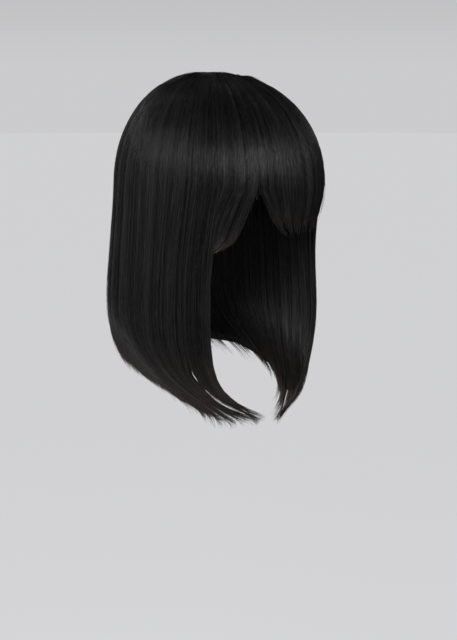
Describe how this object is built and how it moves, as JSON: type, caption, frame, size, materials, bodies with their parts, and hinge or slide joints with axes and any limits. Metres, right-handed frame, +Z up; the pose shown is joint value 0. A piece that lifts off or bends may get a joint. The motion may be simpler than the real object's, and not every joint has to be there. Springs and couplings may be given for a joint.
{
  "type": "bob wig",
  "caption": "Straight black bob wig with a full fringe, in its worn form: locks of hair over a hollow fabric cap, open at the face and below.",
  "frame": {"origin": "inside top of the cap, where the crown of the head touches it", "axes": "+Z up, the face towards -Y, the wearer's left towards +X"},
  "size_m": [0.2096, 0.2575, 0.3531],
  "materials": {
    "net": "matt black net",
    "hair": "black synthetic hair with a soft sheen"
  },
  "bodies": {
    "root": {"cap": "net", "crown_whorl": "hair", "front_lock_left": "hair", "side_hair_left": "hair", "back_hair": "hair", "side_hair_right": "hair", "front_lock_right": "hair", "fringe_right": "hair", "fringe_middle": "hair", "fringe_left": "hair"}
  },
  "joints": []
}
